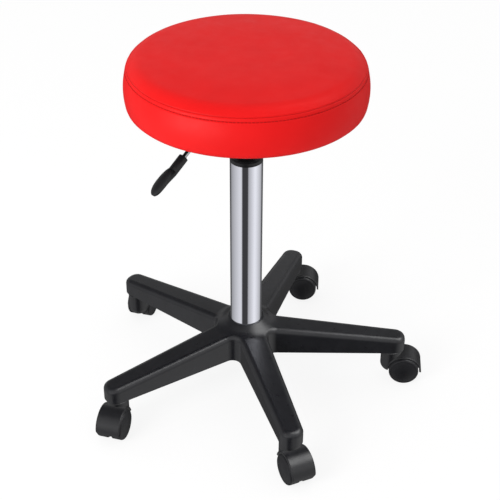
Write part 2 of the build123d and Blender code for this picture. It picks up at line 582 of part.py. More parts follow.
# Release lever: tongue over the valve pin, pivot barrel, bent rod and moulded grip
def make_lever():
    droop = math.radians(LEVER_DROOP)
    run = ROD_TO_GRIP + ROD_IN_GRIP
    bend = (LEVER_BEND_AT, 0, LEVER_Z)
    end = (LEVER_BEND_AT + run * math.cos(droop), 0, LEVER_Z - run * math.sin(droop))
    path = FilletPolyline((PIVOT_RADIUS, 0, LEVER_Z), bend, end, radius=LEVER_BEND_RADIUS)
    start = Plane(origin=(PIVOT_RADIUS, 0, LEVER_Z), x_dir=(0, 1, 0), z_dir=(1, 0, 0))
    rod = sweep(start * Circle(LEVER_ROD_RADIUS), path)
    pivot = Pos(PIVOT_RADIUS, 0, LEVER_Z) * Rot(90, 0, 0)
    rod += pivot * Cylinder(BARREL_RADIUS, BARREL_WIDTH)
    length = TONGUE_ROOT + TONGUE_TIP
    rod += Pos((TONGUE_ROOT - TONGUE_TIP) / 2, 0, LEVER_Z) * Box(length, TONGUE_WIDTH, TONGUE_THICKNESS)
    rod -= pivot * Cylinder(PIVOT_PIN_RADIUS + FIT_GAP, 2 * BARREL_WIDTH)
    parts["lever_rod"] = on_lever(rod)

    grip_x = LEVER_BEND_AT + ROD_TO_GRIP * math.cos(droop)
    grip_z = LEVER_Z - ROD_TO_GRIP * math.sin(droop)
    along = Vector(math.cos(droop), 0, -math.sin(droop))
    axis = Plane(origin=(grip_x, 0, grip_z), x_dir=(0, 1, 0), z_dir=along)
    sections = []
    for share, wide, thick, rise in GRIP_STATIONS:
        place = axis * Pos(0, rise * GRIP_RADIUS, share * GRIP_LENGTH)
        sections.append(place * Ellipse(wide * GRIP_RADIUS, thick * GRIP_RADIUS))
    sleeve_length = GRIP_STATIONS[0][0] * GRIP_LENGTH
    sleeve = Cylinder(GRIP_RADIUS, sleeve_length, align=(Align.CENTER, Align.CENTER, Align.MIN))
    sleeve = fillet(sleeve.edges().group_by(Axis.Z)[0], GRIP_END_ROUND)
    grip = axis * sleeve + loft(sections)
    socket = axis * Cylinder(LEVER_ROD_RADIUS + FIT_GAP, ROD_IN_GRIP + FIT_GAP,
                             align=(Align.CENTER, Align.CENTER, Align.MIN))
    parts["lever_grip"] = on_lever(grip - socket)


# Cushion: crowned top, rolled shoulder at the seam, side drawn in at seam and hem
def rolled(start, radius, start_slope, slope):
    """The point of a given slope on an arc that leaves its start at a steeper one."""
    steep = math.radians(start_slope)
    turn = math.radians(slope)
    inward = radius * (math.sin(steep) - math.sin(turn))
    rise = radius * (math.cos(turn) - math.cos(steep))
    return start[0] - inward, start[1] + rise


def cushion(inset):
    radius = SEAT_RADIUS - inset
    bottom = UNDERSIDE_Z + inset
    hem = radius - HEM_DRAW_IN
    seam = (SEAM_RADIUS - inset, SEAM_Z - inset)
    half_turn = (SHOULDER_SLOPE + CROWN_SLOPE) / 2
    shoulder_middle = rolled(seam, SHOULDER_ROUND, SHOULDER_SLOPE, half_turn)
    shoulder = rolled(seam, SHOULDER_ROUND, SHOULDER_SLOPE, CROWN_SLOPE)
    crown_round = (shoulder[0] - CROWN_FLAT_RADIUS) / math.sin(math.radians(CROWN_SLOPE))
    crown_middle = rolled(shoulder, crown_round, CROWN_SLOPE, CROWN_SLOPE / 2)
    crown = rolled(shoulder, crown_round, CROWN_SLOPE, 0)
    bend = HEM_ROUND * math.sqrt(0.5)
    hem_start = (hem - HEM_ROUND, bottom)
    hem_middle = (hem - HEM_ROUND + bend, bottom + HEM_ROUND - bend)
    hem_end = (hem, bottom + HEM_ROUND)
    side_middle = (radius, (hem_end[1] + seam[1]) / 2)
    outline = Polyline((0, crown[1]), (0, bottom), hem_start)
    outline += ThreePointArc(hem_start, hem_middle, hem_end)
    outline += ThreePointArc(hem_end, side_middle, seam)
    outline += ThreePointArc(seam, shoulder_middle, shoulder)
    outline += ThreePointArc(shoulder, crown_middle, crown)
    outline += Line(crown, (0, crown[1]))
    return revolve(Plane.XZ * make_face(outline), Axis.Z)


def make_staples():
    crown_bottom = UNDERSIDE_Z - DUST_COVER - STAPLE_WIRE
    radius = FOLD_RADIUS + DUST_OVERLAP / 2
    crown = Pos(radius, 0, crown_bottom + STAPLE_WIRE / 2) * Box(STAPLE_WIRE, STAPLE_WIDTH, STAPLE_WIRE)
    for side in (-1, 1):
        leg_z = crown_bottom + (STAPLE_WIRE + STAPLE_LEG) / 2
        place = Pos(radius, side * (STAPLE_WIDTH - STAPLE_WIRE) / 2, leg_z)
        crown += place * Box(STAPLE_WIRE, STAPLE_WIRE, STAPLE_WIRE + STAPLE_LEG)
    return around(STAPLE_COUNT, crown)


def make_seat():
    padded = cushion(COVER_THICKNESS)
    core = post(BOARD_RADIUS, BOARD_BOTTOM_Z, BOARD_THICKNESS)
    cover = cushion(0) - padded - post(FOLD_RADIUS, UNDERSIDE_Z - COVER_THICKNESS, 2 * COVER_THICKNESS)
    tall = 2 * SEAT_RADIUS
    above = post(tall, SEAM_Z, tall)
    parts["seat_top_panel"] = cover & above
    band = cover - above
    step = FOLD_RADIUS - FOLD_GAP
    dust = turned((0, PLATE_TOP_Z), (step - DUST_STEP, PLATE_TOP_Z), (step, UNDERSIDE_Z - DUST_COVER),
                  (DUST_RADIUS, UNDERSIDE_Z - DUST_COVER), (DUST_RADIUS, UNDERSIDE_Z), (step, UNDERSIDE_Z),
                  (step - DUST_STEP, BOARD_BOTTOM_Z), (0, BOARD_BOTTOM_Z))
    board = core
    pad = padded - core

    barrel_hole = post(T_NUT_RADIUS + FIT_GAP, BOARD_BOTTOM_Z - BOARD_THICKNESS, 3 * BOARD_THICKNESS)
    flange_seat = post(T_NUT_FLANGE_RADIUS + FIT_GAP, BOARD_TOP_Z, T_NUT_FLANGE + FIT_GAP)
    shank_hole = post(BOLT_RADIUS + BOLT_HOLE_GAP, BOARD_BOTTOM_Z - BOARD_THICKNESS, 2 * BOARD_THICKNESS)
    t_nut = ring(T_NUT_FLANGE_RADIUS, BOLT_RADIUS, BOARD_TOP_Z, T_NUT_FLANGE)
    t_nut += ring(T_NUT_RADIUS, BOLT_RADIUS, BOARD_TOP_Z - T_NUT_LENGTH, T_NUT_LENGTH)
    washer = ring(WASHER_RADIUS, BOLT_RADIUS + FIT_GAP, PLATE_BOTTOM_Z - WASHER, WASHER)
    head_bottom = PLATE_BOTTOM_Z - WASHER - BOLT_HEAD
    hexagon = RegularPolygon(BOLT_HEAD_ACROSS / 2, 6, major_radius=False)
    head = Pos(0, 0, head_bottom) * extrude(hexagon, BOLT_HEAD)
    bolt = head + post(BOLT_RADIUS - FIT_GAP, head_bottom, BOARD_TOP_Z - head_bottom)
    for place in bolt_places():
        board -= on_lever(place * barrel_hole)
        pad -= on_lever(place * flange_seat)
        dust -= on_lever(place * shank_hole)
    parts["t_nuts"] = group(on_lever(place * t_nut) for place in bolt_places())
    parts["plate_washers"] = group(on_lever(place * washer) for place in bolt_places())
    parts["plate_bolts"] = group(on_lever(place * bolt) for place in bolt_places())

    staples = make_staples()
    for staple in staples:
        board -= staple
        band -= staple
        dust -= staple
    parts["cover_staples"] = group(staples)
    parts["seat_side_band"] = band
    parts["dust_cover"] = dust
    parts["seat_board"] = board
    parts["foam_pad"] = pad


parts["star_base"] = make_base()
parts["caster_stems"] = group(around(ARM_COUNT, Pos(STEM_CIRCLE_RADIUS, 0, 0) * make_stem()))
parts["grip_rings"] = group(around(ARM_COUNT, Pos(STEM_CIRCLE_RADIUS, 0, 0) * make_grip_ring()))
make_casters()
make_column_fixed()
make_spindle()
make_pressure_tube()
make_mechanism()
make_lever()
make_seat()

os.makedirs("parts", exist_ok=True)
for name, shape in parts.items():
    export_step(shape, f"parts/{name}.step")
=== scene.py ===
import json
import math

import bpy
import numpy as np
from mathutils import Matrix, Vector


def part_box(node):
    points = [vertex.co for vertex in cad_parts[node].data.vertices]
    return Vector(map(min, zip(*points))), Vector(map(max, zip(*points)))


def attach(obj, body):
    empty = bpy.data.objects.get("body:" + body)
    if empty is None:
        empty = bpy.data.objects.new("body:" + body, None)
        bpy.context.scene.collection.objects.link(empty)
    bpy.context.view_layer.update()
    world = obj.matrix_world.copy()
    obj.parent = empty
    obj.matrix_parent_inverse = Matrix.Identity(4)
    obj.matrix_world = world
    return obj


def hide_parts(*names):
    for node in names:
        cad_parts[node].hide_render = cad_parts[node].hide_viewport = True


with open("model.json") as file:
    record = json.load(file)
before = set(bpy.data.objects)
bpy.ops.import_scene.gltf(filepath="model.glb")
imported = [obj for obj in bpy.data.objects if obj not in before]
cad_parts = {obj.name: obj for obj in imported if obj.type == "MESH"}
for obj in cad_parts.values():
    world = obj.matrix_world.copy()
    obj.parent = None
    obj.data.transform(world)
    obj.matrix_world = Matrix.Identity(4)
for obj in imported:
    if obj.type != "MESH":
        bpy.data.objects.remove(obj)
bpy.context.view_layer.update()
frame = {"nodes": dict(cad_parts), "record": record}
nodes = frame["nodes"]
scene = bpy.context.scene
scene.view_settings.view_transform = "Standard"


# Sizes shared with the CAD model, in metres
UNDERSIDE_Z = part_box("seat_side_band")[0].z
SEAM_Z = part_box("seat_top_panel")[0].z
SEAT_RADIUS = 0.176
SEAM_RADIUS = 0.1705
SHOULDER_ROUND, SHOULDER_SLOPE = 0.026, math.radians(57.0)
CROWN_RADIUS, CROWN_SLOPE = 0.060, math.radians(4.0)
HEM_RADIUS = 0.1745
HEM_ROUND = 0.008
FOLD_RADIUS = 0.1403
BOARD_ROOM = 0.0002
BOARD_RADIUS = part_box("seat_board")[1].x + BOARD_ROOM
BOARD_BOTTOM_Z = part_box("seat_board")[0].z
BOARD_TOP_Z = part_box("seat_board")[1].z
T_NUT_HEIGHT = 0.0017
HOLLOW_GAP = 0.00005

# Steps along the cover's profile, from the middle of the top to the fold under the board
FLAT_STEPS, CROWN_STEPS, SHOULDER_STEPS = 10, 16, 12
SIDE_STEPS, HEM_STEPS, FOLD_STEPS = 13, 4, 5

# Swelling of the cover with the cloth solver
SOLVER_SEGMENTS, SOLVER_FRAMES = 192, 20
SHRINK = 0.0016
MOST_SWELL = 0.005
FULLEST = 0.0008
HEM_HOLD = 0.8
KEPT_WAVES, WAVE_SHARE = 6, 0.35
SMOOTHING_ROUNDS = 3
SHORTEST_NORMAL = 1e-12

# Topstitching, with a needle hole at every second segment of the cover
STITCH_COUNT = 214
SEGMENTS = 2 * STITCH_COUNT
STITCH_DROP = 0.0060
STITCH_WIDTH, STITCH_GROOVE, STITCH_PULL = 0.0008, 0.00030, 0.00050
STITCH_SIDES, STITCH_STATIONS = 6, 7
STITCH_INSET = 0.06
STITCH_RISE, STITCH_SUNK = 0.00052, 0.00018
THREAD_RADIUS, THREAD_END, THREAD_WIDE = 0.00042, 0.55, 1.15

# Rings of the finished cover, measured along it from the seam
NEAR_START, NEAR_END, NEAR_STEP = -0.0045, 0.0105, 0.00045
ABOVE_GAP, ABOVE_STEP = 0.0048, 0.0042
BELOW_GAP, BELOW_STEP = 0.0110, 0.0036

# Relief of the cover: height, distance below the seam, width
SEAM_GROOVE = (-0.0010, 0.0, 0.00070)
PUFF_BELOW = (0.00030, 0.0028, 0.0018)
PUFF_ABOVE = (0.00022, -0.0022, 0.0014)
PUFF_UNDER_STITCHES = (0.00016, 0.0085, 0.0022)
SIDE_RIPPLE = (0.00050, 0.030, 0.018)
TOP_RIPPLE = (0.00030, -0.030, 0.035)
PUCKER, PUCKER_DROP, PUCKER_REACH = 0.00022, 0.004, 0.010
RELIEF_FADE = 0.02

# Ripples round the cover: fewest waves, most waves, how many are added up
PUCKER_WAVES = (40, 90, 9)
SIDE_WAVES = (3, 13, 6)
TOP_WAVES = (2, 9, 5)
WEAKEST_WAVE = 0.4
WAVE_SEED = 11

# Painted shade in the seam groove and the stitch line: share, distance below the seam, width
SEAM_SHADE = (0.34, 0.0, 0.0006)
STITCH_SHADE = (0.27, STITCH_DROP, 0.0007)

# Span of values that a noise texture mostly fills, and the colour sockets of a mix node
NOISE_LOW, NOISE_HIGH = 0.3, 0.7
MIX_FIRST, MIX_SECOND, MIX_RESULT = 6, 7, 2

# Floor: grey for light, strength of its white, share of the white that the camera sees
FLOOR_REACH = 6.0
FLOOR_GREY, FLOOR_WHITE, FLOOR_WHITE_SHARE = 0.80, 1.07, 0.80

# Studio for reflections: panels below by degrees from the front, haze above by height, both with a brightness
PANELS = ((-180, 0.09), (-134, 0.09), (-124, 0.36), (-45, 0.78), (-32, 0.76), (-24, 0.052), (12, 0.052),
          (19, 0.48), (62, 0.94), (72, 0.93), (124, 0.48), (136, 0.10), (180, 0.09))
HAZE = ((0.0, 0.85), (0.30, 0.70), (0.42, 0.46), (0.56, 0.26), (0.70, 0.17), (1.0, 0.15))
HAZE_START, HAZE_FULL = -0.05, 0.25
ROOM_LIGHT = 0.72

# Soft boxes of the studio: direction, cosine at the edge, cosine where it is full, brightness
SOFTBOXES = (((0.60, -0.25, 0.76), 0.55, 0.95, 1.0), ((0.55, 0.05, 0.835), 0.88, 0.98, 5.0),
             ((-0.42, -0.79, 0.44), 0.60, 0.95, 0.8))

# Camera at the photograph's angle, in metres and in pixels of the photograph
AZIMUTH, ELEVATION, ROLL = math.radians(1.76), math.radians(33.4), math.radians(0.3)
DISTANCE, AIM_HEIGHT, AIM_RIGHT = 1.8257, 0.2440, 0.0060
FOCAL_PX, IMAGE_PX = 1168.25, 500.0
SENSOR_MM = 36.0


# Node helpers
def new_material(name):
    made = bpy.data.materials.new(name)
    made.use_nodes = True
    tree = made.node_tree
    return made, tree, tree.nodes["Principled BSDF"]


def add(tree, kind, **values):
    made = tree.nodes.new(kind)
    for key, value in values.items():
        setattr(made, key, value)
    return made


def coordinates(tree, scale=(1.0, 1.0, 1.0)):
    place = add(tree, "ShaderNodeTexCoord")
    stretch = add(tree, "ShaderNodeMapping")
    stretch.inputs["Scale"].default_value = scale
    tree.links.new(place.outputs["Object"], stretch.inputs["Vector"])
    return stretch.outputs["Vector"]


def noise(tree, scale, detail, rough=0.55, stretch=(1.0, 1.0, 1.0)):
    made = add(tree, "ShaderNodeTexNoise")
    made.inputs["Scale"].default_value = scale
    made.inputs["Detail"].default_value = detail
    made.inputs["Roughness"].default_value = rough
    tree.links.new(coordinates(tree, stretch), made.inputs["Vector"])
    return made.outputs["Fac"]


def cells(tree, scale, feature):
    made = add(tree, "ShaderNodeTexVoronoi", feature=feature)
    made.inputs["Scale"].default_value = scale
    tree.links.new(coordinates(tree), made.inputs["Vector"])
    return made.outputs["Distance"]


def ranged(tree, value, start, end, low=0.0, high=1.0, **kind):
    made = add(tree, "ShaderNodeMapRange", **kind)
    made.inputs["From Min"].default_value = start
    made.inputs["From Max"].default_value = end
    made.inputs["To Min"].default_value = low
    made.inputs["To Max"].default_value = high
    tree.links.new(value, made.inputs["Value"])
    return made.outputs["Result"]


def between(tree, value, low, high):
    return ranged(tree, value, NOISE_LOW, NOISE_HIGH, low, high)


def colours(tree, value, first, second):
    ramp = add(tree, "ShaderNodeValToRGB")
    low, high = ramp.color_ramp.elements
    low.position, high.position = NOISE_LOW, NOISE_HIGH
    low.color, high.color = (*first, 1.0), (*second, 1.0)
    tree.links.new(value, ramp.inputs["Fac"])
    return ramp.outputs["Color"]


def greys(tree, value, stops):
    """A ramp of greys, each stop a place from 0 to 1 and a brightness."""
    ramp = add(tree, "ShaderNodeValToRGB")
    marks = ramp.color_ramp.elements
    while len(marks) < len(stops):
        marks.new(0.5)
    for mark, (place, level) in zip(marks, stops):
        mark.position = place
        mark.color = (level, level, level, 1.0)
    tree.links.new(value, ramp.inputs["Fac"])
    return ramp.outputs["Color"]


def times(tree, value, factor):
    made = add(tree, "ShaderNodeMath", operation="MULTIPLY")
    made.inputs[1].default_value = factor
    tree.links.new(value, made.inputs[0])
    return made.outputs[0]


def joined(tree, operation, first, second):
    made = add(tree, "ShaderNodeMath", operation=operation)
    tree.links.new(first, made.inputs[0])
    tree.links.new(second, made.inputs[1])
    return made.outputs[0]


def mixed_shader(tree, factor, first, second):
    made = add(tree, "ShaderNodeMixShader")
    tree.links.new(factor, made.inputs["Fac"])
    tree.links.new(first, made.inputs[1])
    tree.links.new(second, made.inputs[2])
    return made.outputs[0]


def bump(tree, shader, height, strength, distance, under=None):
    made = add(tree, "ShaderNodeBump")
    made.inputs["Strength"].default_value = strength
    made.inputs["Distance"].default_value = distance
    tree.links.new(height, made.inputs["Height"])
    if under is not None:
        tree.links.new(under, made.inputs["Normal"])
    tree.links.new(made.outputs["Normal"], shader.inputs["Normal"])
    return made.outputs["Normal"]


# Coated cloth of the seat: pebbled grain, slow change of tone and gloss, and painted shade in the seam and
# stitch creases
def make_vinyl():
    made, tree, shader = new_material("red_vinyl")
    slow = noise(tree, scale=14.0, detail=3.0)
    tone = colours(tree, slow, first=(0.752, 0.0063, 0.0068), second=(0.800, 0.0082, 0.0087))
    # Painted shade: an attribute on the cushion mixes the vinyl towards deep red in the seam groove and along
    # the stitch line
    painted_crease_shade = add(tree, "ShaderNodeAttribute", attribute_name="painted_crease_shade")
    painted_shade_mix = add(tree, "ShaderNodeMix", data_type="RGBA")
    tree.links.new(painted_crease_shade.outputs["Fac"], painted_shade_mix.inputs["Factor"])
    tree.links.new(tone, painted_shade_mix.inputs[MIX_FIRST])
    painted_shade_mix.inputs[MIX_SECOND].default_value = (0.26, 0.0025, 0.0030, 1.0)
    tree.links.new(painted_shade_mix.outputs[MIX_RESULT], shader.inputs["Base Color"])
    gloss = between(tree, noise(tree, scale=60.0, detail=5.0), low=0.38, high=0.48)
    tree.links.new(gloss, shader.inputs["Roughness"])
    shader.inputs["Specular IOR Level"].default_value = 0.12
    pebbles = cells(tree, scale=850.0, feature="DISTANCE_TO_EDGE")
    grain = bump(tree, shader, pebbles, strength=0.16, distance=0.0002)
    pores = noise(tree, scale=2400.0, detail=3.0)
    bump(tree, shader, pores, strength=0.08, distance=0.0001, under=grain)
    return made


def make_thread():
    made, tree, shader = new_material("red_thread")
    strands = noise(tree, scale=900.0, detail=2.0)
    tone = colours(tree, strands, first=(0.40, 0.004, 0.005), second=(0.55, 0.007, 0.008))
    tree.links.new(tone, shader.inputs["Base Color"])
    shader.inputs["Roughness"].default_value = 0.72
    shader.inputs["Specular IOR Level"].default_value = 0.12
    bump(tree, shader, noise(tree, scale=3200.0, detail=2.0), strength=0.4, distance=0.0002)
    return made


def make_chrome():
    made, tree, shader = new_material("chromed_steel")
    shader.inputs["Metallic"].default_value = 1.0
    drawn = noise(tree, scale=40.0, detail=4.0, rough=0.6, stretch=(1.0, 1.0, 0.15))
    tone = colours(tree, drawn, first=(0.80, 0.81, 0.89), second=(0.83, 0.84, 0.915))
    tree.links.new(tone, shader.inputs["Base Color"])
    wiped = noise(tree, scale=90.0, detail=6.0, rough=0.6, stretch=(1.0, 1.0, 0.2))
    tree.links.new(between(tree, wiped, low=0.045, high=0.085), shader.inputs["Roughness"])
    polish = noise(tree, scale=700.0, detail=2.0, rough=0.5, stretch=(1.0, 1.0, 0.02))
    bump(tree, shader, polish, strength=0.012, distance=0.0001)
    return made


def make_plastic(name, dark, light, gloss, grain_scale, grain, specular=0.5):
    made, tree, shader = new_material(name)
    tone = colours(tree, noise(tree, scale=22.0, detail=5.0), dark, light)
    tree.links.new(tone, shader.inputs["Base Color"])
    handled = noise(tree, scale=110.0, detail=6.0)
    tree.links.new(between(tree, handled, *gloss), shader.inputs["Roughness"])
    shader.inputs["Specular IOR Level"].default_value = specular
    bump(tree, shader, noise(tree, grain_scale, detail=3.0), grain, distance=0.0002)
    return made


def make_steel(name, dark, light, gloss, stretch, grain):
    made, tree, shader = new_material(name)
    shader.inputs["Metallic"].default_value = 1.0
    tone = colours(tree, noise(tree, scale=70.0, detail=5.0), dark, light)
    tree.links.new(tone, shader.inputs["Base Color"])
    worn = noise(tree, scale=260.0, detail=5.0, rough=0.6, stretch=stretch)
    tree.links.new(between(tree, worn, *gloss), shader.inputs["Roughness"])
    brushed = noise(tree, scale=1400.0, detail=3.0, rough=0.5, stretch=stretch)
    bump(tree, shader, brushed, grain, distance=0.0001)
    return made


def make_cloth(name, dark, light):
    made, tree, shader = new_material(name)
    tone = colours(tree, noise(tree, scale=1600.0, detail=3.0), dark, light)
    tree.links.new(tone, shader.inputs["Base Color"])
    shader.inputs["Roughness"].default_value = 0.93
    shader.inputs["Sheen Weight"].default_value = 0.08
    fuzz = noise(tree, scale=2600.0, detail=6.0, rough=0.7)
    fibres = bump(tree, shader, fuzz, strength=0.55, distance=0.0003)
    pores = cells(tree, scale=420.0, feature="F1")
    bump(tree, shader, pores, strength=0.25, distance=0.0004, under=fibres)
    return made


def make_plywood():
    made, tree, shader = new_material("plywood")
    grain = noise(tree, scale=18.0, detail=8.0, rough=0.65, stretch=(1.0, 14.0, 40.0))
    tone = colours(tree, grain, first=(0.42, 0.26, 0.13), second=(0.66, 0.47, 0.28))
    tree.links.new(tone, shader.inputs["Base Color"])
    shader.inputs["Roughness"].default_value = 0.75
    bump(tree, shader, grain, strength=0.25, distance=0.0004)
    return made


vinyl = make_vinyl()
thread = make_thread()
by_slot = {
    "red_vinyl": vinyl,
    "chromed_steel": make_chrome(),
    "black_nylon": make_plastic(
        "black_nylon", dark=(0.0060, 0.0062, 0.0082), light=(0.0098, 0.0100, 0.0128),
        gloss=(0.27, 0.36), grain_scale=1500.0, grain=0.09, specular=0.42),
    "black_caster_plastic": make_plastic(
        "black_caster_plastic", dark=(0.0070, 0.0071, 0.0088), light=(0.0105, 0.0106, 0.0128),
        gloss=(0.28, 0.38), grain_scale=1800.0, grain=0.07, specular=0.42),
    "black_wheel_plastic": make_plastic(
        "black_wheel_plastic", dark=(0.0065, 0.0066, 0.0082), light=(0.0100, 0.0101, 0.0122),
        gloss=(0.36, 0.48), grain_scale=1400.0, grain=0.10, specular=0.26),
    "black_gloss_plastic": make_plastic(
        "black_gloss_plastic", dark=(0.0065, 0.0065, 0.0075), light=(0.0100, 0.0100, 0.0112),
        gloss=(0.30, 0.40), grain_scale=900.0, grain=0.04, specular=0.30),
    "black_painted_steel": make_plastic(
        "black_painted_steel", dark=(0.009, 0.009, 0.010), light=(0.014, 0.014, 0.015),
        gloss=(0.22, 0.29), grain_scale=900.0, grain=0.02),
    "natural_acetal": make_plastic(
        "natural_acetal", dark=(0.70, 0.68, 0.60), light=(0.78, 0.76, 0.69),
        gloss=(0.30, 0.42), grain_scale=900.0, grain=0.05),
    "black_rubber": make_plastic(
        "black_rubber", dark=(0.010, 0.010, 0.010), light=(0.018, 0.018, 0.017),
        gloss=(0.70, 0.85), grain_scale=700.0, grain=0.15),
    "zinc_steel": make_steel(
        "zinc_steel", dark=(0.50, 0.50, 0.48), light=(0.62, 0.62, 0.60),
        gloss=(0.28, 0.42), stretch=(1.0, 1.0, 1.0), grain=0.06),
    "polished_steel": make_steel(
        "polished_steel", dark=(0.36, 0.36, 0.37), light=(0.46, 0.46, 0.47),
        gloss=(0.12, 0.22), stretch=(1.0, 1.0, 0.3), grain=0.03),
    "plywood": make_plywood(),
    "foam": make_cloth("foam", dark=(0.70, 0.64, 0.42), light=(0.80, 0.74, 0.52)),
    "dust_cloth": make_cloth("dust_cloth", dark=(0.010, 0.010, 0.010), light=(0.022, 0.022, 0.022)),
}
for entry in frame["record"]["subparts"]:
    mesh = nodes[entry["node"]].data
    mesh.materials.clear()
    mesh.materials.append(by_slot[entry["material_slot"]])


# Base and casters stay out of reflections, as the photograph's column shows neither
for name, node in nodes.items():
    if name in ("star_base", "grip_rings") or name.startswith("caster_"):
        node.visible_glossy = False


# Cushion: profile of the cover from the middle of the top down to the fold under the board
def arc_points(start, middle, end, count):
    """Points on the circle through three points, start left out."""
    (ax, ay), (bx, by), (cx, cy) = start, middle, end
    d = 2 * (ax * (by - cy) + bx * (cy - ay) + cx * (ay - by))
    ux = ((ax**2 + ay**2) * (by - cy) + (bx**2 + by**2) * (cy - ay) + (cx**2 + cy**2) * (ay - by)) / d
    uy = ((ax**2 + ay**2) * (cx - bx) + (bx**2 + by**2) * (ax - cx) + (cx**2 + cy**2) * (bx - ax)) / d
    radius = math.hypot(ax - ux, ay - uy)
    first = math.atan2(ay - uy, ax - ux)
    turn = (math.atan2(cy - uy, cx - ux) - first + math.pi) % (2 * math.pi) - math.pi
    steps = [first + turn * (k + 1) / count for k in range(count)]
    return [(ux + radius * math.cos(t), uy + radius * math.sin(t)) for t in steps]


def rolled(start, radius, steep, slope):
    """Where an arc that begins at one slope has come to another, going up and inward."""
    return (start[0] - radius * (math.sin(steep) - math.sin(slope)),
            start[1] + radius * (math.cos(slope) - math.cos(steep)))


def cover_profile():
    """Radius and height along the cover, and the seam's place in the list."""
    seam = (SEAM_RADIUS, SEAM_Z)
    turn = CROWN_SLOPE - SHOULDER_SLOPE
    roll = [rolled(seam, SHOULDER_ROUND, SHOULDER_SLOPE, SHOULDER_SLOPE + turn * k / SHOULDER_STEPS)
            for k in range(SHOULDER_STEPS + 1)]
    shoulder = roll[-1]
    crown_round = (shoulder[0] - CROWN_RADIUS) / math.sin(CROWN_SLOPE)
    crown = [rolled(shoulder, crown_round, CROWN_SLOPE, CROWN_SLOPE * (1 - k / CROWN_STEPS))
             for k in range(1, CROWN_STEPS + 1)]
    hem_top = (HEM_RADIUS, UNDERSIDE_Z + HEM_ROUND)
    side_middle = (SEAT_RADIUS, (hem_top[1] + SEAM_Z) / 2)
    bend = HEM_ROUND * math.sqrt(0.5)
    hem_middle = (HEM_RADIUS - HEM_ROUND + bend, UNDERSIDE_Z + HEM_ROUND - bend)
    hem_end = (HEM_RADIUS - HEM_ROUND, UNDERSIDE_Z)
    points = [(CROWN_RADIUS * k / FLAT_STEPS, crown[-1][1]) for k in range(1, FLAT_STEPS)]
    points += crown[::-1] + roll[::-1]
    at_seam = len(points) - 1
    points += arc_points(seam, side_middle, hem_top, SIDE_STEPS)
    points += arc_points(hem_top, hem_middle, hem_end, HEM_STEPS)
    points += [(hem_end[0] + (FOLD_RADIUS - hem_end[0]) * k / FOLD_STEPS, UNDERSIDE_Z)
               for k in range(1, FOLD_STEPS + 1)]
    return points, at_seam


def ring_grid(profile, segments):
    angle = np.arange(segments) * 2 * math.pi / segments
    radius = np.array([p[0] for p in profile])[:, None]
    height = np.array([p[1] for p in profile])[:, None]
    return np.stack([radius * np.cos(angle), radius * np.sin(angle), height + 0 * angle], axis=-1)


def grid_faces(rings, segments, first=0):
    faces = []
    for i in range(rings - 1):
        for j in range(segments):
            k = (j + 1) % segments
            faces.append((first + i * segments + j, first + (i + 1) * segments + j,
                          first + (i + 1) * segments + k, first + i * segments + k))
    return faces


def link(name, verts, faces):
    mesh = bpy.data.meshes.new(name)
    mesh.from_pydata(verts, [], faces)
    mesh.update()
    made = bpy.data.objects.new(name, mesh)
    scene.collection.objects.link(made)
    return made


def grid_normals(grid):
    """Outward normals of a grid of rings."""
    around = np.roll(grid, -1, axis=1) - np.roll(grid, 1, axis=1)
    along = np.gradient(grid, axis=0)
    normal = np.cross(along, around)
    return normal / np.maximum(np.linalg.norm(normal, axis=2, keepdims=True), SHORTEST_NORMAL)


def swell(grid, held):
    """Blows the cover up a little with the cloth solver, held at the seam, the fold and the hem."""
    rings, segments = grid.shape[:2]
    verts = grid.reshape(-1, 3).tolist() + [[0.0, 0.0, float(grid[0, :, 2].mean())]]
    middle = len(verts) - 1
    faces = grid_faces(rings, segments)
    faces += [(middle, j, (j + 1) % segments) for j in range(segments)]
    cloth = link("cover_in_the_solver", verts, faces)
    pins = cloth.vertex_groups.new(name="held")
    for i in held:
        pins.add(list(range(i * segments, (i + 1) * segments)), held[i], "REPLACE")
    solver = cloth.modifiers.new("Cloth", "CLOTH")
    solver.settings.quality = 6
    solver.settings.mass = 0.3
    solver.settings.tension_stiffness = 30.0
    solver.settings.compression_stiffness = 30.0
    solver.settings.shear_stiffness = 12.0
    solver.settings.bending_stiffness = 3.0
    solver.settings.use_pressure = True
    solver.settings.uniform_pressure_force = 4.0
    solver.settings.effector_weights.gravity = 0.0
    solver.settings.vertex_group_mass = "held"
    solver.collision_settings.use_collision = False
    for step in range(1, SOLVER_FRAMES + 1):
        scene.frame_set(step)
    shown = cloth.evaluated_get(bpy.context.evaluated_depsgraph_get())
    moved = np.zeros(len(verts) * 3)
    shown.data.vertices.foreach_get("co", moved)
    scene.frame_set(1)
    bpy.data.objects.remove(cloth)
    moved = moved.reshape(-1, 3)[:-1].reshape(grid.shape)
    outward = np.clip(((moved - grid) * grid_normals(grid)).sum(axis=2), 0.0, MOST_SWELL)
    rounds = np.fft.rfft(outward, axis=1)
    rounds[:, 1:KEPT_WAVES] *= WAVE_SHARE
    rounds[:, KEPT_WAVES:] = 0.0
    return np.fft.irfft(rounds, segments, axis=1)


rng = np.random.default_rng(WAVE_SEED)
profile, at_seam = cover_profile()
cover = ring_grid(profile, SOLVER_SEGMENTS)
pulled = cover - SHRINK * grid_normals(cover)
at_hem_end = len(profile) - FOLD_STEPS - 1
held = {at_seam: 1.0, at_hem_end: HEM_HOLD}
for i in range(at_hem_end + 1, len(profile)):
    held[i] = 1.0
for i in held:
    pulled[i] = cover[i]
fuller = np.clip(swell(pulled, held) - SHRINK, 0.0, None)
fuller *= FULLEST / max(FULLEST, float(fuller.max()))
for _ in range(SMOOTHING_ROUNDS):
    fuller[1:-1] = 0.25 * fuller[:-2] + 0.5 * fuller[1:-1] + 0.25 * fuller[2:]
cover = cover + grid_normals(cover) * fuller[:, :, None]


def smooth_between(before, here, after, beyond, share):
    """A smooth curve through four neighbours, read between the middle two."""
    squared = 2 * before - 5 * here + 4 * after - beyond
    cubed = 3 * (here - after) + beyond - before
    return here + 0.5 * share * (after - before + share * (squared + share * cubed))


